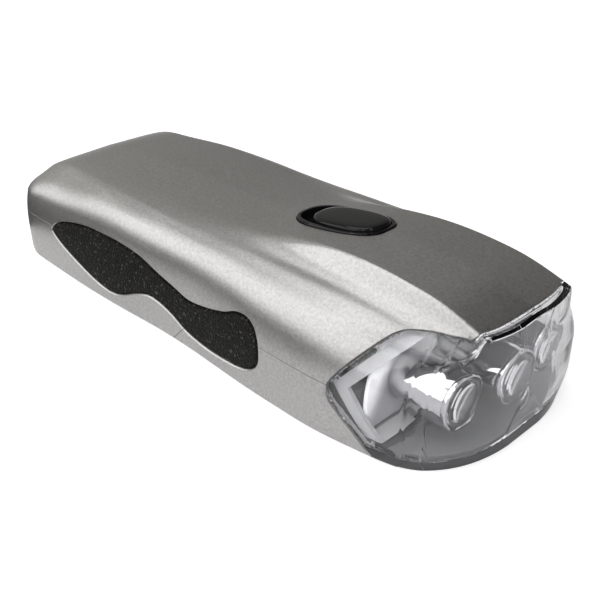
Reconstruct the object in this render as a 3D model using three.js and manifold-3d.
// A pocket flashlight driven by a hand crank: two silver shells, a clear nose with three lamps,
// rubber side grips, a sliding switch, and a crank that folds into a turning hub underneath.
// Units are millimetres. +X is the front, +Y the far side, +Z up, and the origin is the middle
// of the flat base.

import * as THREE from 'three';
import { mergeVertices } from 'three/addons/utils/BufferGeometryUtils.js';
import Module from 'manifold-3d';

const wasm = await Module();
wasm.setup();

// Whole body
const bodyLength = 140;
const bodyWidth = 56.6;
const bodyHeight = 31.8;
const shellWall = 2;
const partGap = 0.3;
const fitGap = 0.2;
const cutOverrun = 2;
const halfLength = bodyLength / 2;
const halfWidth = bodyWidth / 2;

// Corners of the half section, rounded by these reaches
const creaseRoundRear = 3;
const creaseRoundFront = 0.5;
const valleyRound = 2;
const ridgeRoundRear = 1.2;
const ridgeRoundFront = 3.2;
const shoulderRound = 3;
const flankRound = 4.5;
const baseRound = 0.9;

// Tail and nose of the plan and profile
const tailPlanLength = 8;
const tailPlanInset = 7;
const tailTopLength = 15;
const tailTopInset = 9;
const tailBaseLength = 8;
const tailBaseInset = 8;
const tailWaistHeight = 17;
const noseLength = 26.6;

// Shell seams
const seamHeight = 12.1;
const seamWidth = 0.3;
const splitTailDistance = 64.6;
const splitLeanX = 5.5;
const splitLeanZ = 5.8;

// Clear nose cover, its seal and the sill under it: how far their corners lie back from the nose
// and down from the top
const lensWall = 1.6;
const lensTipBack = 26.6;
const lensTipZ = 11.7;
const lensBrowBack = 13;
const lensBrowDrop = 4.8;
const lensFootBack = 15.7;
const lensShoulderBack = 20;
const lensSideBack = 32;
const deckLipBack = 3;
const sillHeight = 2.4;
const sealWidth = 2.3;
const sealThickness = 0.9;

// Side grips
const gripLength = 78;
const gripHeight = 13.9;
const gripTailDistance = 55.7;
const gripBaseZ = 3.2;
const gripDepth = 1;

// Crank hub, arm and knob, folded
const hubTailDistance = 33;
const hubSideRoom = 6.3;
const hubClearance = 0.5;
const hubInset = 0.4;
const hubBevel = 0.8;
const hubRoof = 1;
const recessWall = 1.2;
const recessAirGap = 0.4;
const hingeInset = 4;
const hingeHeight = 2;
const knuckleRadius = 1.6;
const hingePinRadius = 0.8;
const hingePinLength = 20;
const knobInset = 9.5;
const armWidth = 10;
const armThickness = 2.4;
const armTipRadius = 6.5;
const armClearance = 0.4;
const fingerNotchRadius = 8.6;
const fingerNotchReach = 13;
const knobRadius = 7;
const knobHeight = 4.5;
const knobRound = 1;
const knobPinRadius = 1.1;
const rivetHeadRadius = 2;
const rivetHeadHeight = 0.8;

// Crank shaft and its bush
const shaftRadius = 2.5;
const shaftFlatDepth = 0.6;
const shaftSocketDepth = 4.6;
const bushWall = 1.5;
const clipWidth = 1.2;
const clipThickness = 0.6;
const clipMouth = 3;

// Gear train
const toothModule = 0.8;
const toothPressure = THREE.MathUtils.degToRad(20);
const toothPlay = 0.26;
const wheelAddendum = 0.48;
const pinionAddendum = 0.72;
const toothRootDepth = 1;
const gearWidth = 2;
const gearSpacing = 0.4;
const driveTeeth = 40;
const wheelTeeth = 30;
const pinionTeeth = 10;
const firstMeshTurn = THREE.MathUtils.degToRad(-25);
const secondMeshTurn = THREE.MathUtils.degToRad(45);
const thirdMeshTurn = THREE.MathUtils.degToRad(-30);
const axleRadius = 1;
const axleSeat = 0.6;
const axleBossRadius = 2.4;
const plateThickness = 0.8;
const plateMargin = 3;
const postRadius = 1.8;
const drivePostGap = 0.9;
const secondPostGap = 2.5;
const firstPostGap = 0.3;
const drivePostTurn = THREE.MathUtils.degToRad(39);
const secondPostTurn = THREE.MathUtils.degToRad(46);
const firstPostTurn = THREE.MathUtils.degToRad(-29);
const plateScrewHeadRadius = 1.7;
const plateScrewHeadHeight = 0.7;
const plateScrewRadius = 0.6;
const plateScrewLength = 5;

// Generator
const generatorRadius = 11;
const generatorHeight = 12;
const generatorWall = 0.8;
const generatorShaftRadius = 0.8;
const coilWall = 3.4;
const coilHeight = 8;
const magnetRadius = 4.2;
const capThickness = 0.8;
const capBoreRadius = 2.2;

// Cells, boards and lamps
const cellRadius = 7.75;
const cellThickness = 6;
const cellNoseDistance = 43;
const cellCount = 3;
const cradleWall = 1.2;
const cradleHeight = 7;
const boardThickness = 1.2;
const boardLength = 26;
const boardSideRoom = 11.3;
const boardNoseDistance = 42.5;
const boardDrop = 11.8;
const lampBoardBack = 21.6;
const lampBoardSideRoom = 7.6;
const lampBoardHeight = 16;
const lampHeight = 12;
const lampPitchShare = 0.48;
const lampRadius = 2.5;
const lampFlangeRadius = 2.9;
const lampFlangeThickness = 1;
const lampLength = 8.6;

// Reflector
const reflectorWall = 0.9;
const cupThroatRadius = 3.4;
const cupMouthRadius = 5.3;
const middleCupLength = 16.5;
const outerCupLength = 14.6;
const cupRimRadius = 5.8;
const cupRimThickness = 1;
const discLensThickness = 1;
const discLensCrown = 0.9;

// Switch
const deckPitch = THREE.MathUtils.degToRad(8);
const switchNoseDistance = 47.8;
const switchDrop = 1.8;
const switchLength = 24;
const switchWidth = 12.8;
const bezelDepth = 2.6;
const bezelRim = 0.8;
const bezelFloor = 0.8;
const bezelStand = 0.2;
const switchTravel = 3.6;
const sliderStand = 0.9;
const stemLength = 4;
const stemWidth = 2.4;
const switchBodyLength = 11;
const switchBodyWidth = 7;
const switchBodyHeight = 5;
const switchWellDepth = 2.4;

// Housing screws: distances from the tail or the nose, room to the side, and sizes
const tailScrewDistance = 12;
const tailScrewRoom = 8.8;
const rearScrewDistance = 58;
const rearScrewRoom = 8.3;
const frontScrewDistance = 83;
const frontScrewRoom = 7.3;
const noseScrewDistance = 27;
const noseScrewRoom = 8.5;
const screwRadius = 1.15;
const screwHeadRadius = 2.4;
const screwHeadHeight = 1.4;
const screwSink = 0.5;
const screwLength = 14;
const bossRadius = 3.2;
const bossMeetHeight = 9;
const pilotDepth = 9;

// Places that follow from the sizes
const splitFootX = splitTailDistance - halfLength;
const gripCentreX = gripTailDistance - halfLength;
const hubX = hubTailDistance - halfLength;
const hubRadius = halfWidth - hubSideRoom;
const hingeRadius = hubRadius - hingeInset;
const armReach = hingeRadius + hubRadius - knobInset;
const cellX = halfLength - cellNoseDistance;
const boardX = halfLength - boardNoseDistance;
const boardZ = bodyHeight - boardDrop;
const lampBoardX = halfLength - lampBoardBack;
const lampPitch = lampPitchShare * halfWidth;
const switchX = halfLength - switchNoseDistance;
const switchZ = bodyHeight - switchDrop;

// Steps of round pieces
const roundSteps = 24;
const smallRoundSteps = 12;
const outerCornerSteps = 2;
const innerCornerSteps = 1;
const arcSteps = 6;
const cupSteps = 16;

// Shares of the length, from the tail, at which the guide lines are given
const stationShares = [
  0, 0.121, 0.231, 0.334, 0.431, 0.5, 0.576, 0.645, 0.714, 0.783, 0.852, 0.921, 0.969, 1,
];

// Guide lines of the half section: shares of the half width and of the height at each station
const guideShares = [
  {
    width: [0, 0, 0, 0, 0, 0, 0, 0, 0, 0, 0, 0, 0, 0],
    height: [0.777, 0.808, 0.826, 0.829, 0.835, 0.853, 0.89, 0.938, 0.981, 1, 0.99, 0.953, 0.893, 0.844],
  },
  {
    width: [0.444, 0.457, 0.464, 0.464, 0.464, 0.461, 0.454, 0.444, 0.44, 0.457, 0.471, 0.478, 0.484, 0.488],
    height: [0.765, 0.795, 0.814, 0.817, 0.82, 0.835, 0.864, 0.916, 0.962, 0.981, 0.969, 0.929, 0.868, 0.82],
  },
  {
    width: [0.529, 0.546, 0.58, 0.594, 0.6, 0.59, 0.57, 0.556, 0.552, 0.552, 0.552, 0.552, 0.558, 0.562],
    height: [
      0.759, 0.786, 0.808, 0.808, 0.808, 0.818, 0.83, 0.834, 0.837, 0.838, 0.822, 0.79, 0.752, 0.724,
    ],
  },
  {
    width: [0.58, 0.607, 0.679, 0.72, 0.74, 0.75, 0.75, 0.746, 0.748, 0.748, 0.736, 0.708, 0.69, 0.68],
    height: [0.756, 0.78, 0.799, 0.795, 0.786, 0.785, 0.797, 0.804, 0.807, 0.802, 0.783, 0.738, 0.69, 0.655],
  },
  {
    width: [0.853, 0.86, 0.86, 0.88, 0.88, 0.884, 0.894, 0.914, 0.921, 0.921, 0.897, 0.846, 0.785, 0.737],
    height: [0.622, 0.638, 0.692, 0.701, 0.68, 0.674, 0.674, 0.68, 0.674, 0.656, 0.619, 0.577, 0.547, 0.528],
  },
  {
    width: [0.921, 0.935, 0.945, 0.942, 0.931, 0.931, 0.955, 0.986, 1, 1, 0.976, 0.921, 0.846, 0.798],
    height: [0.38, 0.38, 0.38, 0.38, 0.38, 0.38, 0.38, 0.38, 0.38, 0.38, 0.38, 0.38, 0.38, 0.38],
  },
  {
    width: [0.887, 0.914, 0.931, 0.925, 0.908, 0.918, 0.948, 0.979, 0.993, 0.993, 0.955, 0.894, 0.805, 0.751],
    height: [0, 0, 0, 0, 0, 0, 0, 0, 0, 0, 0, 0, 0, 0],
  },
];

// Corners of the nose cover's edge round the deck, as shares of the half width
const deckLipShare = 0.512;
const lensBrowShare = 0.724;
const lensShoulderShare = 0.848;

// Outline of a grip, as shares of its length from the middle and of its height from the base
const gripOutlineShares = [
  [-0.497, 0.6], [-0.445, 0.784], [-0.326, 0.942], [-0.227, 0.986], [-0.123, 1], [-0.026, 0.942],
  [0.053, 0.82], [0.126, 0.727], [0.194, 0.647], [0.274, 0.705], [0.351, 0.82], [0.4, 0.942],
  [0.441, 0.971], [0.473, 0.892], [0.492, 0.719], [0.499, 0.504], [0.495, 0.338], [0.469, 0.18],
  [0.426, 0.086], [0.356, 0.029], [0.267, 0.014], [0.182, 0.072], [0.115, 0.223], [0.063, 0.309],
  [0.008, 0.338], [-0.051, 0.245], [-0.121, 0.072], [-0.178, 0], [-0.25, 0.043], [-0.338, 0.173],
  [-0.436, 0.353], [-0.491, 0.504],
];

// Exponents of the rounded ends
const tailPlanPower = 2.5;
const tailTopPower = 2.2;
const tailBasePower = 2;
const nosePower = 2.5;
const noseSidePower = 3.3;
const noseFullness = 0.995;

// Shares of the height between which the nose swells to its side exponent and back
const noseSwellShares = [-0.05, 0.22];
const noseFadeShares = [0.4, 0.66];

// Share of the length over which the crease and the ridge change from rounded to crisp
const creaseBlendShares = [0.5, 0.74];
const ridgeBlendShares = [0.22, 0.6];

// Solid built from a closed three.js geometry
function solidOf(geometry) {
  const bare = geometry.index ? geometry.toNonIndexed() : geometry.clone();
  bare.deleteAttribute('normal');
  bare.deleteAttribute('uv');
  const merged = mergeVertices(bare);
  const mesh = new wasm.Mesh({
    numProp: 3,
    vertProperties: new Float32Array(merged.attributes.position.array),
    triVerts: new Uint32Array(merged.index.array),
  });
  return new wasm.Manifold(mesh);
}

// three.js geometry of a finished solid
function geometryOf(solid) {
  const mesh = solid.getMesh();
  const geometry = new THREE.BufferGeometry();
  geometry.setAttribute('position', new THREE.BufferAttribute(new Float32Array(mesh.vertProperties), 3));
  geometry.setIndex(new THREE.BufferAttribute(new Uint32Array(mesh.triVerts), 1));
  geometry.computeVertexNormals();
  return geometry;
}

function join(solids) {
  return solids.reduce((whole, solid) => whole.add(solid));
}

function cut(solid, cutters) {
  return cutters.reduce((rest, cutter) => rest.subtract(cutter), solid);
}

// Upright round bar from zLow to zHigh
function rod(radius, zLow, zHigh, x = 0, y = 0, steps = smallRoundSteps) {
  const geometry = new THREE.CylinderGeometry(radius, radius, zHigh - zLow, steps);
  geometry.rotateX(Math.PI / 2);
  geometry.translate(x, y, (zLow + zHigh) / 2);
  return solidOf(geometry);
}

// Round bar along Y, centred on y = 0
function barAlongY(radius, length, x, z, steps = smallRoundSteps) {
  const geometry = new THREE.CylinderGeometry(radius, radius, length, steps);
  geometry.translate(x, 0, z);
  return solidOf(geometry);
}

// Box given by its limits
function block(xLow, xHigh, yLow, yHigh, zLow, zHigh) {
  const geometry = new THREE.BoxGeometry(xHigh - xLow, yHigh - yLow, zHigh - zLow);
  geometry.translate((xLow + xHigh) / 2, (yLow + yHigh) / 2, (zLow + zHigh) / 2);
  return solidOf(geometry);
}

// Solid turned about an upright axis, from a profile of [radius, height] points that starts at
// the bottom and climbs the outside
function turned(profile, steps = roundSteps) {
  const points = profile.map(([radius, height]) => new THREE.Vector2(radius, height));
  points.push(points[0].clone());
  const geometry = new THREE.LatheGeometry(points, steps);
  geometry.rotateX(Math.PI / 2);
  return solidOf(geometry);
}

// Profile of a flat ring
function ring(inner, outer, zLow, zHigh) {
  return [[inner, zLow], [outer, zLow], [outer, zHigh], [inner, zHigh]];
}

// Upright prism of a plan outline
function planPrism(outline, zLow, zHigh) {
  const shape = new THREE.Shape(outline.map(([x, y]) => new THREE.Vector2(x, y)));
  const geometry = new THREE.ExtrudeGeometry(shape, { depth: zHigh - zLow, bevelEnabled: false });
  geometry.translate(0, 0, zLow);
  return solidOf(geometry);
}

// Prism of a side outline of [x, z] points, from yLow to yHigh
function sidePrism(outline, yLow, yHigh) {
  const shape = new THREE.Shape(outline.map(([x, z]) => new THREE.Vector2(x, z)));
  const geometry = new THREE.ExtrudeGeometry(shape, { depth: yHigh - yLow, bevelEnabled: false });
  geometry.rotateX(Math.PI / 2);
  geometry.translate(0, yHigh, 0);
  return solidOf(geometry);
}

// Stadium outline along X, centred on the origin
function stadium(length, width) {
  const radius = width / 2;
  const reach = length / 2 - radius;
  const outline = [];
  for (let i = 0; i <= arcSteps; i += 1) {
    const turn = Math.PI * (i / arcSteps - 1 / 2);
    outline.push([reach + radius * Math.cos(turn), radius * Math.sin(turn)]);
  }
  for (let i = 0; i <= arcSteps; i += 1) {
    const turn = Math.PI * (i / arcSteps + 1 / 2);
    outline.push([-reach + radius * Math.cos(turn), radius * Math.sin(turn)]);
  }
  return outline;
}

// Value of a table at a share of the length, by a smooth curve through its entries
function alongBody(values, share) {
  const last = stationShares.length - 1;
  let i = 0;
  while (i < last - 1 && share > stationShares[i + 1]) i += 1;
  const span = stationShares[i + 1] - stationShares[i];
  const t = Math.min(Math.max((share - stationShares[i]) / span, 0), 1);
  const rise = (k) => (values[k + 1] - values[k]) / (stationShares[k + 1] - stationShares[k]);
  const slope = (k) => {
    if (k === 0) return rise(0);
    if (k === last) return rise(last - 1);
    const before = stationShares[k] - stationShares[k - 1];
    const after = stationShares[k + 1] - stationShares[k];
    return (rise(k - 1) * after + rise(k) * before) / (before + after);
  };
  const a = 2 * t ** 3 - 3 * t ** 2 + 1;
  const b = t ** 3 - 2 * t ** 2 + t;
  const c = t ** 3 - t ** 2;
  return a * values[i] + b * span * slope(i) + (1 - a) * values[i + 1] + c * span * slope(i + 1);
}

// Smooth change from 0 to 1 between two shares of the length
function blend(share, [from, to]) {
  const t = Math.min(Math.max((share - from) / (to - from), 0), 1);
  return t * t * (3 - 2 * t);
}

function mix(from, to, amount) {
  return from + (to - from) * amount;
}

// Corners of the half section at x, moved inwards by an inset
function sectionCorners(x, inset) {
  const share = x / bodyLength + 1 / 2;
  const corners = guideShares.map((guide) => [
    alongBody(guide.width, share) * halfWidth,
    alongBody(guide.height, share) * bodyHeight,
  ]);
  corners.push([0, 0]);
  return corners.map((corner, i) => insetCorner(corners, i, inset));
}

// One corner of a half section, moved along the inward normals of the sides that meet there
function insetCorner(corners, i, inset) {
  const normalAfter = (k) => {
    const [y0, z0] = corners[k];
    const [y1, z1] = corners[k + 1];
    const size = Math.hypot(y1 - y0, z1 - z0);
    return [(z1 - z0) / size, (y0 - y1) / size];
  };
  const [y, z] = corners[i];
  if (i === 0) return [y, z - inset];
  if (i === corners.length - 1) return [y, z + inset];
  const [ay, az] = normalAfter(i - 1);
  const [by, bz] = normalAfter(i);
  const spread = 1 + ay * by + az * bz;
  return [y + (inset * (ay + by)) / spread, z + (inset * (az + bz)) / spread];
}

// The same line with each inner corner replaced by a curve of the given reach
function roundCorners(corners, reaches, cornerSteps) {
  const line = [corners[0]];
  for (let i = 1; i < corners.length - 1; i += 1) {
    const here = new THREE.Vector2(...corners[i]);
    const before = new THREE.Vector2(...corners[i - 1]);
    const after = new THREE.Vector2(...corners[i + 1]);
    const reachBefore = Math.min(reaches[i - 1], here.distanceTo(before) / 2);
    const reachAfter = Math.min(reaches[i - 1], here.distanceTo(after) / 2);
    const start = here.clone().add(before.sub(here).setLength(reachBefore));
    const end = here.clone().add(after.sub(here).setLength(reachAfter));
    const curve = new THREE.QuadraticBezierCurve(start, here, end);
    curve.getPoints(cornerSteps).forEach((point) => line.push([point.x, point.y]));
  }
  line.push(corners[corners.length - 1]);
  return line;
}

// How far a rounded end draws in at a distance from the end
function endInset(distance, length, inset, power) {
  const u = Math.min(Math.max(1 - distance / length, 0), 1);
  return inset * (1 - (1 - u ** power) ** (1 / power));
}

// Half width at a height where the nose is rounded, fullest about the middle of the flank
function noseHalfWidth(x, z, inset) {
  const noseStart = halfLength - noseLength;
  const u = Math.max((x - noseStart) / (noseLength - inset), 0) * noseFullness;
  const share = z / bodyHeight;
  const swell = blend(share, noseSwellShares) * (1 - blend(share, noseFadeShares));
  const power = mix(nosePower, noseSidePower, swell);
  return (halfWidth - inset) * (1 - Math.min(u, noseFullness) ** power) ** (1 / power);
}

// Half section at x of the form that lies an inset inside the outer surface
function halfSection(x, inset) {
  const share = x / bodyLength + 1 / 2;
  const reaches = [
    mix(creaseRoundRear, creaseRoundFront, blend(share, creaseBlendShares)),
    valleyRound,
    mix(ridgeRoundRear, ridgeRoundFront, blend(share, ridgeBlendShares)),
    shoulderRound,
    flankRound,
    baseRound,
  ];
  const cornerSteps = inset > 0 ? innerCornerSteps : outerCornerSteps;
  const line = roundCorners(sectionCorners(x, inset), reaches, cornerSteps);
  const fromTail = x + halfLength - inset;
  const widest = Math.max(...line.map(([y]) => y));
  const top = Math.max(...line.map(([, z]) => z));
  const floor = Math.min(...line.map(([, z]) => z));
  const planInset = endInset(fromTail, tailPlanLength, tailPlanInset, tailPlanPower);
  const topInset = endInset(fromTail, tailTopLength, tailTopInset, tailTopPower);
  const baseInset = endInset(fromTail, tailBaseLength, tailBaseInset, tailBasePower);
  return line.map(([y, z]) => {
    const above = (z - tailWaistHeight) / (top - tailWaistHeight);
    const below = (tailWaistHeight - z) / (tailWaistHeight - floor);
    const drawnIn = Math.min((y * (widest - planInset)) / widest, noseHalfWidth(x, z, inset));
    return [drawnIn, z > tailWaistHeight ? z - topInset * above : z + baseInset * below];
  });
}

// Places along the body at which sections are taken, closer together at the rounded ends
function sectionPlaces(inset) {
  const rear = -halfLength + inset;
  const front = halfLength - inset;
  const tailShares = [0, 0.02, 0.08, 0.18, 0.34, 0.62, 1];
  const noseShares = [0, 0.28, 0.5, 0.67, 0.8, 0.87, 0.925, 0.97, 1];
  const middleShares = [0.12, 0.24, 0.36, 0.48, 0.6, 0.72, 0.84];
  const tailEnd = rear + tailTopLength;
  const noseStart = front - noseLength;
  const places = [
    ...tailShares.map((share) => mix(rear, tailEnd, share)),
    ...middleShares.map((share) => mix(tailEnd, noseStart, share)),
    ...noseShares.map((share) => mix(noseStart, front, share)),
  ];
  return inset > 0 ? places.filter((place, i) => i % 2 === 0) : places;
}

// Closed form of the whole body, drawn in by an inset
function bodyForm(inset) {
  const rings = sectionPlaces(inset).map((x) => {
    const half = halfSection(x, inset);
    const mirrored = half.slice(1, -1).reverse().map(([y, z]) => [-y, z]);
    return [...half, ...mirrored].map(([y, z]) => new THREE.Vector3(x, y, z));
  });
  return solidOf(loft(rings));
}

// Skin through rings of equal counts, closed by a fan at each end
function loft(rings) {
  const positions = [];
  const triangle = (a, b, c) => positions.push(...a.toArray(), ...b.toArray(), ...c.toArray());
  const count = rings[0].length;
  for (let i = 0; i < rings.length - 1; i += 1) {
    for (let j = 0; j < count; j += 1) {
      const k = (j + 1) % count;
      triangle(rings[i][j], rings[i + 1][k], rings[i][k]);
      triangle(rings[i][j], rings[i + 1][j], rings[i + 1][k]);
    }
  }
  const first = rings[0];
  const last = rings[rings.length - 1];
  const middleOf = (ring) => new THREE.Vector3(ring[0].x, 0, tailWaistHeight);
  for (let j = 0; j < count; j += 1) {
    const k = (j + 1) % count;
    triangle(middleOf(first), first[j], first[k]);
    triangle(middleOf(last), last[k], last[j]);
  }
  const geometry = new THREE.BufferGeometry();
  geometry.setAttribute('position', new THREE.Float32BufferAttribute(positions, 3));
  return geometry;
}

const outerForm = bodyForm(0);
const innerForm = bodyForm(shellWall);
const bossForm = bodyForm(shellWall / 2);
const clearForm = bodyForm(shellWall + partGap);
const sealInset = shellWall + partGap + sealThickness;

// Space in front of the angled edge that the clear nose shows from the side, moved forwards
function lensSideSpace(shift) {
  const fromNose = (back) => halfLength - back + shift;
  const upperSlope = (lensTipBack - lensBrowBack) / (bodyHeight - lensBrowDrop - lensTipZ);
  const lowerSlope = (lensTipBack - lensFootBack) / lensTipZ;
  const front = halfLength + cutOverrun;
  const top = bodyHeight + cutOverrun;
  const side = [
    [fromNose(lensTipBack), lensTipZ],
    [fromNose(lensFootBack) + lowerSlope * cutOverrun, -cutOverrun],
    [front, -cutOverrun],
    [front, top],
    [fromNose(lensTipBack) + upperSlope * (top - lensTipZ), top],
  ];
  return sidePrism(side, -halfWidth - cutOverrun, halfWidth + cutOverrun);
}

// Space of the clear nose, round the front of the deck too, moved forwards by a shift
function lensSpace(shift) {
  const fromNose = (back) => halfLength - back + shift;
  const front = halfLength + cutOverrun;
  const near = [
    [fromNose(deckLipBack), deckLipShare * halfWidth],
    [fromNose(lensBrowBack), lensBrowShare * halfWidth],
    [fromNose(lensShoulderBack), lensShoulderShare * halfWidth],
    [fromNose(lensSideBack), halfWidth + cutOverrun],
  ];
  const far = near.map(([x, y]) => [x, -y]).reverse();
  const corners = [[front, halfWidth + cutOverrun], [front, -halfWidth - cutOverrun]];
  const plan = [...near.reverse(), ...far.reverse(), corners[1], corners[0]];
  return lensSideSpace(shift).intersect(planPrism(plan, -cutOverrun, bodyHeight + cutOverrun));
}

// Gear centres and the heights of the three gear layers
const armBottom = 2 * hingeHeight + armClearance;
const armTop = armBottom + armThickness;
const knobBase = armTop + partGap;
const knobTop = knobBase + knobHeight;
const pocketRoof = knobTop + armClearance;
const hubTop = pocketRoof + hubRoof;
const recessRoof = hubTop + recessAirGap;
const recessTop = recessRoof + recessWall;
const layerBase = (layer) => recessTop + partGap + layer * (gearWidth + gearSpacing);
const layerTop = (layer) => layerBase(layer) + gearWidth;
const recessRadius = hubRadius + hubClearance;
const hingeX = hubX + hingeRadius;
const knobX = hingeX - armReach;
const driveSpan = (toothModule * (driveTeeth + pinionTeeth)) / 2;
const wheelSpan = (toothModule * (wheelTeeth + pinionTeeth)) / 2;
const driveCentre = [hubX, 0];
const firstCentre = stepFrom(driveCentre, driveSpan, firstMeshTurn);
const secondCentre = stepFrom(firstCentre, wheelSpan, secondMeshTurn);
const rotorCentre = stepFrom(secondCentre, wheelSpan, thirdMeshTurn);
const plateBase = layerTop(2) + partGap;
const plateTop = plateBase + plateThickness;

function stepFrom([x, y], distance, turn) {
  return [x + distance * Math.cos(turn), y + distance * Math.sin(turn)];
}

// Posts of the gear plate: each stands clear of one gear, in a direction seen from its centre
const postCentres = [
  postBeside(driveCentre, driveTeeth, drivePostGap, drivePostTurn),
  postBeside(secondCentre, wheelTeeth, secondPostGap, secondPostTurn),
  postBeside(firstCentre, wheelTeeth, firstPostGap, firstPostTurn),
];

function postBeside(centre, teeth, gap, turn) {
  const tipRadius = (toothModule * teeth) / 2 + wheelAddendum;
  return stepFrom(centre, tipRadius + gap + postRadius, turn);
}

// Centres of the housing screws
const screwCentres = [
  [tailScrewDistance - halfLength, halfWidth - tailScrewRoom],
  [tailScrewDistance - halfLength, tailScrewRoom - halfWidth],
  [rearScrewDistance - halfLength, halfWidth - rearScrewRoom],
  [frontScrewDistance - halfLength, frontScrewRoom - halfWidth],
  [halfLength - noseScrewDistance, halfWidth - noseScrewRoom],
  [halfLength - noseScrewDistance, noseScrewRoom - halfWidth],
];
const rearScrewCount = 3;

// Outline of one side grip, grown outwards by a margin
function gripOutline(margin) {
  const points = gripOutlineShares.map(([along, up]) => new THREE.Vector2(
    gripCentreX + along * gripLength,
    gripBaseZ + up * gripHeight,
  ));
  return points.map((point, i) => {
    const before = points[(i + points.length - 1) % points.length];
    const after = points[(i + 1) % points.length];
    const along = after.clone().sub(before).normalize();
    return [point.x - along.y * margin, point.y + along.x * margin];
  });
}

// Window through one flank, of the grip outline, outside the form that lies at a depth
function gripWindow(side, depth, margin) {
  const yLow = side < 0 ? -halfWidth - cutOverrun : 0;
  const yHigh = side < 0 ? 0 : halfWidth + cutOverrun;
  return sidePrism(gripOutline(margin), yLow, yHigh).subtract(bodyForm(depth));
}

const gripPockets = [-1, 1].map((side) => gripWindow(side, gripDepth + partGap, partGap));

function sideGrip(side) {
  return gripWindow(side, gripDepth, 0).intersect(outerForm);
}

// Everything above or below a height
function aboveHeight(z) {
  return block(-bodyLength, bodyLength, -bodyWidth, bodyWidth, z, bodyHeight + bodyLength);
}

function belowHeight(z) {
  return block(-bodyLength, bodyLength, -bodyWidth, bodyWidth, -bodyLength, z);
}

// Space behind the leaning joint of the lower housing
function behindSplit(shift) {
  const lean = splitLeanX / splitLeanZ;
  const top = bodyHeight;
  return sidePrism([
    [-bodyLength, -cutOverrun],
    [splitFootX - lean * cutOverrun + shift, -cutOverrun],
    [splitFootX + lean * top + shift, top],
    [-bodyLength, top],
  ], -bodyWidth, bodyWidth);
}

// Places a solid that was made about the switch's own centre onto the sloping deck
function onDeck(solid) {
  const geometry = geometryOf(solid);
  geometry.rotateY(-deckPitch);
  geometry.translate(switchX, 0, switchZ);
  return solidOf(geometry);
}

function upperShell() {
  const skin = outerForm.subtract(innerForm).intersect(aboveHeight(seamHeight + seamWidth / 2));
  const bosses = screwCentres.flatMap(([x, y]) => [
    rod(bossRadius, bossMeetHeight + partGap, bodyHeight, x, y).intersect(clearForm),
    rod(bossRadius, seamHeight + seamWidth / 2, bodyHeight, x, y).intersect(bossForm),
  ]);
  const pilots = screwCentres.map(([x, y]) => (
    rod(screwRadius + fitGap, 0, bossMeetHeight + pilotDepth, x, y)
  ));
  const well = onDeck(planPrism(
    stadium(switchLength + 2 * partGap, switchWidth + 2 * partGap),
    -bodyHeight / 2,
    bodyHeight / 2,
  ));
  return cut(join([skin, ...bosses]), [...pilots, well, lensSpace(0), ...gripPockets]);
}

// Outer skin of the lower housing with its screw columns
function lowerSkin(centres) {
  const skin = outerForm.subtract(innerForm).intersect(belowHeight(seamHeight - seamWidth / 2));
  const columns = centres.map(([x, y]) => rod(bossRadius, 0, bossMeetHeight, x, y).intersect(bossForm));
  return join([skin, ...columns]);
}

function screwHoles(centres) {
  return centres.flatMap(([x, y]) => [
    rod(screwRadius + fitGap, -cutOverrun, bossMeetHeight + cutOverrun, x, y),
    rod(screwHeadRadius + fitGap, -cutOverrun, screwSink + screwHeadHeight + fitGap, x, y),
  ]);
}

// Post that carries one corner of the gear plate
function platePost(centre, base) {
  const post = rod(postRadius, base, plateBase, ...centre);
  const pilot = rod(plateScrewRadius + fitGap, plateTop - plateScrewLength - partGap, plateTop, ...centre);
  return post.subtract(pilot);
}

function lowerRearShell() {
  const centres = screwCentres.slice(0, rearScrewCount);
  const cup = rod(recessRadius + recessWall, 0, recessTop, hubX, 0, roundSteps);
  const recess = rod(recessRadius, -cutOverrun, recessRoof, hubX, 0, roundSteps);
  const bore = rod(shaftRadius + bushWall + 2 * fitGap, 0, recessTop + cutOverrun, hubX, 0);
  const axleBoss = rod(axleBossRadius, shellWall / 2, recessTop, ...secondCentre);
  const skin = join([lowerSkin(centres), cup]).intersect(behindSplit(-seamWidth / 2));
  const floorPosts = [
    platePost(postCentres[0], recessTop - partGap),
    platePost(postCentres[2], shellWall / 2),
  ];
  const axleHoles = [firstCentre, secondCentre].map((centre) => (
    rod(axleRadius + fitGap, recessTop - axleSeat, recessTop + cutOverrun, ...centre)
  ));
  const whole = join([skin, axleBoss, ...floorPosts]);
  return cut(whole, [recess, bore, ...axleHoles, ...screwHoles(centres), ...gripPockets]);
}

function lowerFrontShell() {
  const centres = screwCentres.slice(rearScrewCount);
  const skin = lowerSkin(centres).subtract(behindSplit(seamWidth / 2)).subtract(lensSpace(0));
  const post = platePost(postCentres[1], shellWall / 2);
  return cut(join([skin, post]), [...screwHoles(centres), ...gripPockets]);
}

function clearLens() {
  const space = lensSpace(partGap * Math.SQRT2).intersect(aboveHeight(sillHeight + partGap));
  return outerForm.intersect(space).subtract(bodyForm(lensWall));
}

function frontSill() {
  const space = lensSpace(partGap * Math.SQRT2).intersect(belowHeight(sillHeight));
  return outerForm.intersect(space);
}

// Dark seal that runs inside the angled edge of the nose cover, on one flank
function lensSeal(side) {
  const skin = clearForm.subtract(bodyForm(sealInset));
  const band = lensSideSpace(0).subtract(lensSideSpace(sealWidth * Math.SQRT2));
  const low = sillHeight + 2 * partGap;
  const high = bodyHeight - lensBrowDrop;
  const yInner = (side * halfWidth) / 2;
  const yOuter = side * halfWidth;
  const flank = block(0, halfLength, Math.min(yInner, yOuter), Math.max(yInner, yOuter), low, high);
  return skin.intersect(band).intersect(flank);
}

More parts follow.
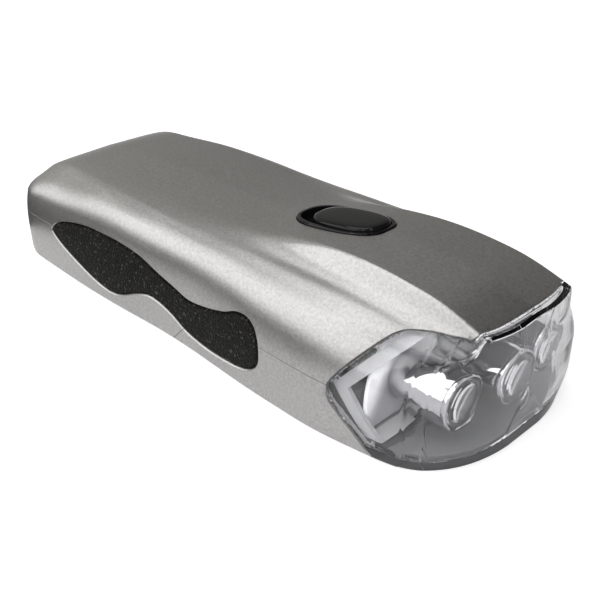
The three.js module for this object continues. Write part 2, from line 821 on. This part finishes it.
// Crank hub: a thick disc with a channel for the arm, a finger notch across it and a pocket that
// leaves the knob room to swing out
function crankHub() {
  const disc = turned([
    [0, hubInset],
    [hubRadius - hubBevel, hubInset],
    [hubRadius, hubInset + hubBevel],
    [hubRadius, hubTop],
    [0, hubTop],
  ]);
  const channelWidth = armWidth / 2 + armClearance;
  const channelTop = armTop + armClearance;
  const channelEnd = hingeRadius + knuckleRadius + armClearance;
  const knobPlace = knobX - hubX;
  const channel = block(knobPlace, channelEnd, -channelWidth, channelWidth, -cutOverrun, channelTop);
  const tip = rod(armTipRadius + armClearance, -cutOverrun, channelTop, knobPlace, 0);
  const knobEdge = armReach + knobRadius;
  const swing = Math.hypot(knobEdge, knobTop - knobRound - hingeHeight) - knobEdge;
  const pocketWidth = 2 * (knobRadius + armClearance);
  const pocketPlan = stadium(pocketWidth + swing, pocketWidth);
  const pocket = planPrism(pocketPlan, -cutOverrun, pocketRoof).translate([knobPlace - swing / 2, 0, 0]);
  const notchPlace = hingeRadius - fingerNotchReach;
  const notch = rod(fingerNotchRadius, -cutOverrun, channelTop, notchPlace, 0, roundSteps);
  const pinBore = barAlongY(hingePinRadius + fitGap, 2 * hubRadius, hingeRadius, hingeHeight);
  const socket = rod(shaftRadius + fitGap, hubTop - shaftSocketDepth, hubTop + cutOverrun);
  return cut(disc, [channel, tip, pocket, notch, pinBore, socket]);
}

// Folding arm, made about its hinge line, with the knob end towards the tail
function crankArm() {
  const plateLow = armBottom - hingeHeight;
  const plateHigh = armTop - hingeHeight;
  const plate = block(-armReach, knuckleRadius, -armWidth / 2, armWidth / 2, plateLow, plateHigh);
  const tip = rod(armTipRadius, plateLow, plateHigh, -armReach, 0);
  const web = block(-knuckleRadius, knuckleRadius, -armWidth / 2, armWidth / 2, 0, plateHigh);
  const knuckle = barAlongY(knuckleRadius, armWidth, 0, 0);
  const bore = barAlongY(hingePinRadius + fitGap, armWidth + cutOverrun, 0, 0);
  const pinHole = rod(knobPinRadius + fitGap, 0, plateHigh + cutOverrun, -armReach, 0);
  const headSink = rod(rivetHeadRadius + fitGap, 0, plateLow + rivetHeadHeight + fitGap, -armReach, 0);
  return cut(join([plate, tip, web, knuckle]), [bore, pinHole, headSink]);
}

// Knob, made about its own axis with its base at zero
function crankKnob() {
  const body = turned([
    [0, 0],
    [knobRadius - knobRound, 0],
    [knobRadius, knobRound],
    [knobRadius, knobHeight - knobRound],
    [knobRadius - knobRound, knobHeight],
    [0, knobHeight],
  ]);
  const bore = rod(knobPinRadius + fitGap, -cutOverrun, knobHeight + cutOverrun);
  const sink = rod(rivetHeadRadius + fitGap, knobHeight - rivetHeadHeight - fitGap, knobHeight + cutOverrun);
  return cut(body, [bore, sink]);
}

// Rivet through the arm and the knob, made with the arm's outer face at zero
function knobPin() {
  const length = knobTop - armBottom;
  return join([
    rod(knobPinRadius, 0, length),
    rod(rivetHeadRadius, 0, rivetHeadHeight),
    rod(rivetHeadRadius, length - rivetHeadHeight, length),
  ]);
}

function crankShaft() {
  const base = hubTop - shaftSocketDepth + fitGap;
  const top = layerTop(0) + fitGap + clipThickness + partGap;
  const bar = rod(shaftRadius, base, top);
  return bar.subtract(shaftFlat(0));
}

// Half-space that forms the flat on the shaft, moved outwards by a margin
function shaftFlat(margin) {
  const edge = shaftRadius - shaftFlatDepth + margin;
  return block(edge, edge + cutOverrun, -shaftRadius, shaftRadius, recessTop, plateTop);
}

function crankBush() {
  const inner = shaftRadius + fitGap;
  const base = recessRoof + fitGap;
  const top = recessTop + partGap / 2;
  return turned(ring(inner, inner + bushWall, base, top), smallRoundSteps);
}

// Snap ring that keeps the drive gear on the shaft
function driveGearClip() {
  const inner = shaftRadius + fitGap;
  const base = layerTop(0) + fitGap;
  const outer = inner + clipWidth;
  const washer = turned(ring(inner, outer, base, base + clipThickness));
  const half = clipMouth / 2;
  return washer.subtract(block(-outer - cutOverrun, 0, -half, half, base - cutOverrun, base + cutOverrun));
}

// Involute angle at which a tooth flank stands
function involute(angle) {
  return Math.tan(angle) - angle;
}

// Spur gear about the origin, with the middle of one tooth turned to a phase
function spurGear(teeth, addendum, phase, zLow, zHigh) {
  const pitchRadius = (toothModule * teeth) / 2;
  const baseRadius = pitchRadius * Math.cos(toothPressure);
  const rootRadius = pitchRadius - toothRootDepth;
  const tipRadius = pitchRadius + addendum;
  const pitchHalf = (Math.PI * toothModule / 2 - toothPlay / 2) / (2 * pitchRadius);
  const halfAngle = (radius) => {
    const pressure = Math.acos(Math.min(baseRadius / radius, 1));
    return pitchHalf + involute(toothPressure) - involute(pressure);
  };
  const flankRadii = baseRadius > rootRadius ? [rootRadius, pitchRadius, tipRadius] : [rootRadius, tipRadius];
  const flank = flankRadii.map((radius) => [radius, halfAngle(radius)]);
  const outline = [];
  for (let i = 0; i < teeth; i += 1) {
    const middle = phase + (2 * Math.PI * i) / teeth;
    flank.forEach(([radius, half]) => outline.push(polar(radius, middle - half)));
    flank.slice().reverse().forEach(([radius, half]) => outline.push(polar(radius, middle + half)));
  }
  return planPrism(outline, zLow, zHigh);
}

function polar(radius, angle) {
  return [radius * Math.cos(angle), radius * Math.sin(angle)];
}

// Phase of a gear that has a tooth space facing its driver
function spacePhase(meshTurn, teeth) {
  return meshTurn + Math.PI + Math.PI / teeth;
}

function driveGear() {
  const blank = spurGear(driveTeeth, wheelAddendum, firstMeshTurn, layerBase(0), layerTop(0));
  const bore = rod(shaftRadius + fitGap, recessTop, plateTop);
  return blank.subtract(bore.subtract(shaftFlat(fitGap)));
}

// Wheel and pinion moulded as one piece, about their own axle
function compoundGear(layer, meshIn, meshOut) {
  const phase = spacePhase(meshIn, pinionTeeth);
  const pinionTop = layerTop(layer) + gearSpacing / 2;
  const pinion = spurGear(pinionTeeth, pinionAddendum, phase, layerBase(layer), pinionTop);
  const wheel = spurGear(wheelTeeth, wheelAddendum, meshOut, layerBase(layer + 1), layerTop(layer + 1));
  const collar = rod(axleBossRadius, layerTop(layer), layerBase(layer + 1) + gearWidth / 2);
  const bore = rod(axleRadius + fitGap, 0, plateTop);
  return join([pinion, collar, wheel]).subtract(bore);
}

function gearAxle() {
  return rod(axleRadius, recessTop - axleSeat + partGap / 2, plateTop);
}

// Plate over the gears, around its posts and the outer gear centres
function gearPlate() {
  const corners = [postCentres[0], postCentres[1], rotorCentre, postCentres[2], firstCentre];
  const outline = roundedHull(corners, plateMargin);
  const holeAt = (radius) => (centre) => rod(radius + fitGap, 0, bodyHeight, ...centre);
  return cut(planPrism(outline, plateBase, plateTop), [
    ...[firstCentre, secondCentre].map(holeAt(axleRadius)),
    ...postCentres.map(holeAt(plateScrewRadius)),
    holeAt(generatorShaftRadius)(rotorCentre),
  ]);
}

// Outline around points listed clockwise, kept a margin outside them, with round corners
function roundedHull(points, margin) {
  const outline = [];
  points.forEach(([x, y], i) => {
    const [ax, ay] = points[(i + points.length - 1) % points.length];
    const [bx, by] = points[(i + 1) % points.length];
    const from = Math.atan2(y - ay, x - ax) + Math.PI / 2;
    let to = Math.atan2(by - y, bx - x) + Math.PI / 2;
    while (to > from) to -= 2 * Math.PI;
    for (let k = 0; k <= arcSteps / 2; k += 1) {
      const turn = mix(from, to, (2 * k) / arcSteps);
      outline.push([x + margin * Math.cos(turn), y + margin * Math.sin(turn)]);
    }
  });
  return outline.reverse();
}

function plateScrew() {
  return join([
    rod(plateScrewRadius, plateTop - plateScrewLength, plateTop),
    rod(plateScrewHeadRadius, plateTop, plateTop + plateScrewHeadHeight),
  ]);
}

// Generator can, open on top and standing on the floor
const generatorBase = shellWall;
const generatorTop = generatorBase + generatorHeight;

function generatorCase() {
  const inner = generatorRadius - generatorWall;
  const inside = generatorBase + generatorWall;
  return turned([
    [0, generatorBase],
    [generatorRadius, generatorBase],
    [generatorRadius, generatorTop],
    [inner, generatorTop],
    [inner, inside],
    [0, inside],
  ]);
}

function generatorCoil() {
  const outer = generatorRadius - generatorWall - partGap;
  const inner = outer - coilWall;
  const base = generatorBase + generatorWall;
  const top = base + coilHeight;
  return turned(ring(inner, outer, base, top));
}

function generatorCap() {
  return turned(ring(capBoreRadius, generatorRadius, generatorTop, generatorTop + capThickness));
}

function generatorMagnet() {
  const base = generatorBase + generatorWall + partGap;
  const core = rod(magnetRadius, base, base + coilHeight, 0, 0, roundSteps);
  return core.subtract(rod(generatorShaftRadius + fitGap, 0, bodyHeight));
}

function generatorShaft() {
  const collarRadius = generatorShaftRadius + partGap;
  const base = generatorBase + generatorWall + partGap;
  const collarBase = base + coilHeight + partGap;
  return join([
    rod(generatorShaftRadius, base, plateTop),
    rod(collarRadius, collarBase, layerBase(2) - partGap),
  ]);
}

function generatorPinion() {
  const phase = spacePhase(thirdMeshTurn, pinionTeeth);
  const pinion = spurGear(pinionTeeth, pinionAddendum, phase, layerBase(2), layerTop(2));
  return pinion.subtract(rod(generatorShaftRadius + fitGap, 0, bodyHeight));
}

// Button cell on its edge, with its axis along Y
const cellPitch = cellThickness + partGap;
const cellZ = shellWall + cradleWall + partGap + cellRadius;

function cell(index) {
  const y = (index - (cellCount - 1) / 2) * cellPitch;
  const geometry = new THREE.CylinderGeometry(cellRadius, cellRadius, cellThickness, roundSteps);
  geometry.translate(cellX, y, cellZ);
  return geometry;
}

function cellCradle() {
  const inner = cellRadius + partGap;
  const outer = inner + cradleWall;
  const across = (cellCount * cellPitch) / 2 + cradleWall;
  const within = (cellCount * cellPitch) / 2;
  const outside = block(cellX - outer, cellX + outer, -across, across, shellWall, shellWall + cradleHeight);
  const hollow = barAlongY(inner, 2 * within, cellX, cellZ, roundSteps);
  const end = block(cellX - inner / 2, cellX + inner / 2, within, across, shellWall, boardZ);
  return join([outside, end, end.mirror([0, 1, 0])]).subtract(hollow);
}

function mainBoard() {
  const alongX = boardLength / 2;
  const alongY = halfWidth - boardSideRoom;
  return block(boardX - alongX, boardX + alongX, -alongY, alongY, boardZ, boardZ + boardThickness);
}

function lampBoard() {
  const alongY = halfWidth - lampBoardSideRoom;
  const base = shellWall + partGap;
  return block(lampBoardX, lampBoardX + boardThickness, -alongY, alongY, base, base + lampBoardHeight);
}

// Solid turned about an axis along X, from a profile of [radius, distance forwards] points
function turnedAlongX(profile, steps = smallRoundSteps) {
  const geometry = geometryOf(turned(profile, steps));
  geometry.rotateY(Math.PI / 2);
  return solidOf(geometry);
}

// Profile points of a dome from its edge, left out, up to its tip on the axis
function dome(radius, crown, base) {
  const points = [];
  for (let i = 1; i < arcSteps / 2; i += 1) {
    const turn = (Math.PI * i) / arcSteps;
    points.push([radius * Math.cos(turn), base + crown * Math.sin(turn)]);
  }
  points.push([0, base + crown]);
  return points;
}

// Lamp, made with the back of its flange at zero
function lamp() {
  const domeStart = lampLength - lampRadius;
  const flange = [[0, 0], [lampFlangeRadius, 0], [lampFlangeRadius, lampFlangeThickness]];
  const stem = [[lampRadius, lampFlangeThickness], [lampRadius, domeStart]];
  return turnedAlongX([...flange, ...stem, ...dome(lampRadius, lampRadius, domeStart)]);
}

// Three bright cups on one bulkhead, in front of the lamp board
const cupRearX = lampBoardX + boardThickness + partGap;
const lampPlaces = [-1, 0, 1].map((place) => ({
  y: place * lampPitch,
  length: place === 0 ? middleCupLength : outerCupLength,
}));

function cup(length) {
  return turnedAlongX([
    [0, 0],
    [cupThroatRadius + reflectorWall, 0],
    [cupMouthRadius + reflectorWall / 2, length - cupRimThickness],
    [cupRimRadius, length - cupRimThickness],
    [cupRimRadius, length],
    [0, length],
  ], cupSteps);
}

// Hollow of a cup, widest at its mouth
function cupBore(length) {
  const bowlShares = [0.3, 1];
  const bowl = bowlShares.map((share) => [
    mix(cupThroatRadius, cupMouthRadius, Math.sqrt(share)),
    length * share,
  ]);
  return turnedAlongX([
    [0, -cutOverrun],
    [cupThroatRadius, -cutOverrun],
    [cupThroatRadius, 0],
    ...bowl,
    [cupMouthRadius, length + cutOverrun],
    [0, length + cutOverrun],
  ], cupSteps);
}

function reflector() {
  const cups = lampPlaces.map(({ y, length }) => cup(length).translate([cupRearX, y, lampHeight]));
  const bores = lampPlaces.map(({ y, length }) => cupBore(length).translate([cupRearX, y, lampHeight]));
  const base = sillHeight + partGap;
  const wall = block(cupRearX, cupRearX + reflectorWall, -halfWidth, halfWidth, base, bodyHeight);
  return cut(join([...cups, wall.intersect(bodyForm(sealInset + partGap))]), bores);
}

// Small crowned lens in a cup's mouth, made with its flat back at zero
function discLens() {
  const radius = cupMouthRadius - partGap;
  const edge = [[0, 0], [radius, 0], [radius, discLensThickness]];
  return turnedAlongX([...edge, ...dome(radius, discLensCrown, discLensThickness)]);
}

// Switch pieces, made about the middle of the oval on the level deck
const sliderLength = switchLength - 2 * bezelRim - 2 * partGap - switchTravel;
const sliderWidth = switchWidth - 2 * bezelRim - 2 * partGap;
const sliderRestX = switchTravel / 2;
const bezelBase = bezelStand - bezelDepth;

// Slot that the stem runs in, with room at both ends of its travel
function stemSlot(zLow, zHigh) {
  const alongX = (stemLength + switchTravel) / 2 + partGap;
  const alongY = stemWidth / 2 + partGap;
  return block(-alongX, alongX, -alongY, alongY, zLow, zHigh);
}

function switchBezel() {
  const tray = planPrism(stadium(switchLength, switchWidth), bezelBase, bezelStand);
  const inside = stadium(switchLength - 2 * bezelRim, switchWidth - 2 * bezelRim);
  const hollow = planPrism(inside, bezelBase + bezelFloor, bezelStand + cutOverrun);
  return cut(tray, [hollow, stemSlot(bezelBase - cutOverrun, bezelStand)]);
}

function switchSlider() {
  const base = bezelBase + bezelFloor + partGap;
  const button = planPrism(stadium(sliderLength, sliderWidth), base, bezelStand + sliderStand);
  const stemBase = bezelBase - switchWellDepth;
  const alongX = stemLength / 2;
  const alongY = stemWidth / 2;
  return button.add(block(-alongX, alongX, -alongY, alongY, stemBase, base + partGap));
}

// Switch body on the board, with a well that the slider's stem runs in
function switchBody() {
  const base = boardZ + boardThickness;
  const alongX = switchBodyLength / 2;
  const alongY = switchBodyWidth / 2;
  const body = block(switchX - alongX, switchX + alongX, -alongY, alongY, base, base + switchBodyHeight);
  return body.subtract(onDeck(stemSlot(bezelBase - switchWellDepth - partGap, 0)));
}

// Pan head screw, made with the face of its head at zero and its point upwards
function shellScrew() {
  return join([
    rod(screwHeadRadius, 0, screwHeadHeight),
    rod(screwRadius, 0, screwLength),
  ]);
}

// Looks: colour, roughness, metalness
const silver = [0xa9a7a3, 0.38, 0.75];
const blackRubber = [0x1b1a19, 0.85, 0];
const clearPlastic = [0xe6ebee, 0.08, 0];
const smokePlastic = [0x3a3d3f, 0.3, 0];
const chrome = [0xdcdcdc, 0.08, 1];
const blackGloss = [0x0b0b0c, 0.15, 0];
const greyPlastic = [0x55575a, 0.5, 0];
const whitePlastic = [0xe8e6df, 0.5, 0];
const steel = [0xb4b6b8, 0.3, 1];
const brass = [0xb8974f, 0.35, 1];
const copper = [0xa65e32, 0.4, 1];
const boardGreen = [0x1e5a34, 0.5, 0];
const lampClear = [0xf4f6f0, 0.1, 0];

const torch = new THREE.Group();

// Adds one named piece
function add(name, shape, [color, roughness, metalness], x = 0, y = 0, z = 0, parent = torch) {
  const geometry = shape.isBufferGeometry ? shape : geometryOf(shape);
  const material = new THREE.MeshStandardMaterial({ color, roughness, metalness });
  const mesh = new THREE.Mesh(geometry, material);
  mesh.name = name;
  mesh.position.set(x, y, z);
  parent.add(mesh);
  return mesh;
}

// Housing
add('upper_shell', upperShell(), silver);
add('lower_rear_shell', lowerRearShell(), silver);
add('lower_front_shell', lowerFrontShell(), silver);
add('right_grip', sideGrip(-1), blackRubber);
add('left_grip', sideGrip(1), blackRubber);
add('clear_lens', clearLens(), clearPlastic);
add('right_lens_seal', lensSeal(-1), blackRubber);
add('left_lens_seal', lensSeal(1), blackRubber);
add('front_sill', frontSill(), smokePlastic);
screwCentres.forEach(([x, y], i) => add(`shell_screw_${i + 1}`, shellScrew(), steel, x, y, screwSink));

// Crank
add('crank_hub', crankHub(), greyPlastic, hubX);
add('crank_shaft', crankShaft(), steel, hubX);
add('crank_bush', crankBush(), brass, hubX);
add('crank_arm', crankArm(), greyPlastic, hingeX, 0, hingeHeight);
add('hinge_pin', barAlongY(hingePinRadius, hingePinLength, 0, 0), steel, hingeX, 0, hingeHeight);
add('crank_knob', crankKnob(), blackGloss, knobX, 0, knobBase);
add('knob_pin', knobPin(), steel, knobX, 0, armBottom);

// Gear train
add('drive_gear', driveGear(), whitePlastic, hubX);
add('drive_gear_clip', driveGearClip(), steel, hubX);
add('first_gear', compoundGear(0, firstMeshTurn, secondMeshTurn), whitePlastic, ...firstCentre);
add('second_gear', compoundGear(1, secondMeshTurn, thirdMeshTurn), whitePlastic, ...secondCentre);
add('first_axle', gearAxle(), steel, ...firstCentre);
add('second_axle', gearAxle(), steel, ...secondCentre);
add('gear_plate', gearPlate(), steel);
postCentres.forEach(([x, y], i) => add(`plate_screw_${i + 1}`, plateScrew(), steel, x, y));

// Generator
add('generator_case', generatorCase(), steel, ...rotorCentre);
add('generator_coil', generatorCoil(), copper, ...rotorCentre);
add('generator_cap', generatorCap(), steel, ...rotorCentre);
add('generator_magnet', generatorMagnet(), greyPlastic, ...rotorCentre);
add('generator_shaft', generatorShaft(), steel, ...rotorCentre);
add('generator_pinion', generatorPinion(), brass, ...rotorCentre);

// Cells, boards, lamps and reflector
add('cell_cradle', cellCradle(), blackGloss);
for (let i = 0; i < cellCount; i += 1) add(`cell_${i + 1}`, cell(i), steel);
add('main_board', mainBoard(), boardGreen);
add('lamp_board', lampBoard(), boardGreen);
lampPlaces.forEach(({ y, length }, i) => {
  add(`lamp_${i + 1}`, lamp(), lampClear, lampBoardX + boardThickness, y, lampHeight);
  add(`disc_lens_${i + 1}`, discLens(), clearPlastic, cupRearX + length - discLensThickness, y, lampHeight);
});
add('reflector', reflector(), chrome);

// Switch
add('switch_body', switchBody(), blackGloss);
const deckGroup = new THREE.Group();
deckGroup.position.set(switchX, 0, switchZ);
deckGroup.rotation.y = -deckPitch;
torch.add(deckGroup);
add('switch_bezel', switchBezel(), blackGloss, 0, 0, 0, deckGroup);
add('switch_slider', switchSlider(), blackGloss, sliderRestX, 0, 0, deckGroup);

export default torch;
